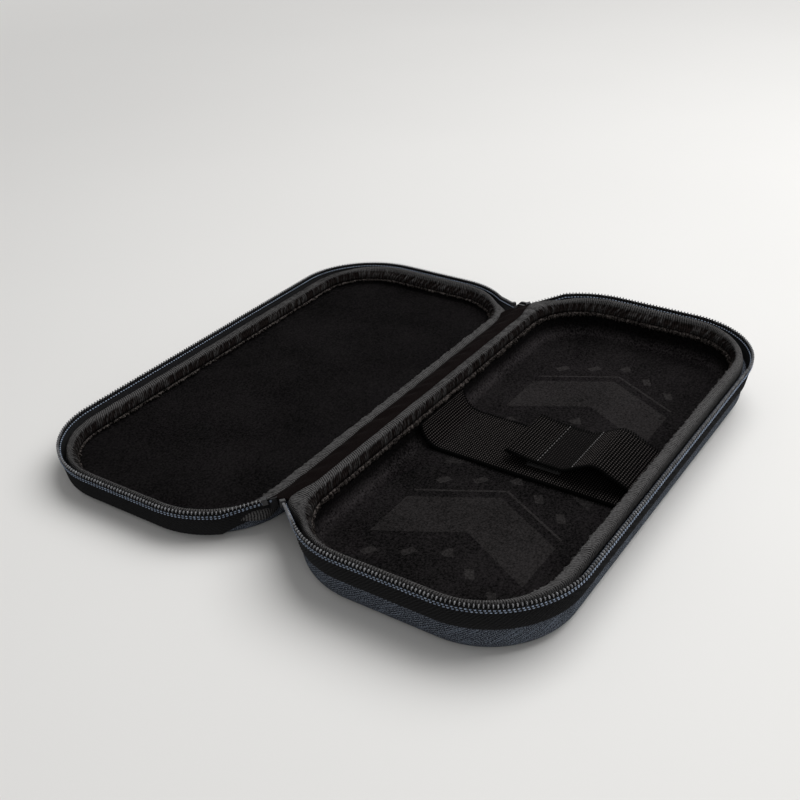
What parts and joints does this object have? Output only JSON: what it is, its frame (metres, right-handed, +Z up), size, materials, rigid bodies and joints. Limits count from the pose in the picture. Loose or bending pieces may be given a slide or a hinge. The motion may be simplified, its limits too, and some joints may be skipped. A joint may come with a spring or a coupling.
{
  "type": "portable game console case",
  "caption": "Zip-up padded carrying case for a handheld game console, lying open: a deep tray with webbing straps, a shallow tray lid on a cloth hinge and a zip round the rim.",
  "frame": {"origin": "on the table under the middle of the hinge, with the case lying open", "axes": "+Z up, +X along the hinge, +Y from the deep base half towards the shallow lid half"},
  "size_m": [0.2748, 0.2782, 0.0293],
  "materials": {
    "denim_cloth": "dark blue-grey heathered twill over moulded foam",
    "plush_cloth": "near-black short-pile plush",
    "binding_cloth": "charcoal padded edging",
    "seam_cloth": "beige-grey raw edge",
    "zip_cloth": "black twill tape",
    "zip_plastic": "dark grey moulded teeth",
    "webbing": "black ribbed webbing",
    "hook_and_loop": "black hook-and-loop tape",
    "gusset_cloth": "black thin cloth",
    "slider_metal": "black enamelled metal"
  },
  "bodies": {
    "base": {"base_shell": "denim_cloth", "base_lining": "plush_cloth", "base_binding": "binding_cloth", "base_seam_edge": "seam_cloth", "base_zip_tape": "zip_cloth", "base_zip_teeth": "zip_plastic", "base_zip_stops": "zip_plastic", "strap_long": "webbing", "strap_short": "webbing", "strap_loop_patch": "hook_and_loop", "strap_hook_patch": "hook_and_loop", "hinge_gusset": "gusset_cloth", "zip_slider": "slider_metal"},
    "lid": {"lid_shell": "denim_cloth", "lid_lining": "plush_cloth", "lid_binding": "binding_cloth", "lid_seam_edge": "seam_cloth", "lid_zip_tape": "zip_cloth", "lid_zip_teeth": "zip_plastic", "lid_zip_stops": "zip_plastic"},
    "pull": {"zip_pull": "slider_metal"}
  },
  "joints": [
    {"name": "lid_hinge", "type": "hinge", "parent": "base", "child": "lid", "pos_m": [0, 0, 0.0238], "axis": [1, 0, 0], "range_deg": [0, 180], "deforming": ["hinge_gusset"]},
    {"name": "pull_swing", "type": "hinge", "parent": "base", "child": "pull", "pos_m": [0.12018, 0, 0.0168], "axis": [0, 1, 0], "range_deg": [-170, 0]}
  ]
}
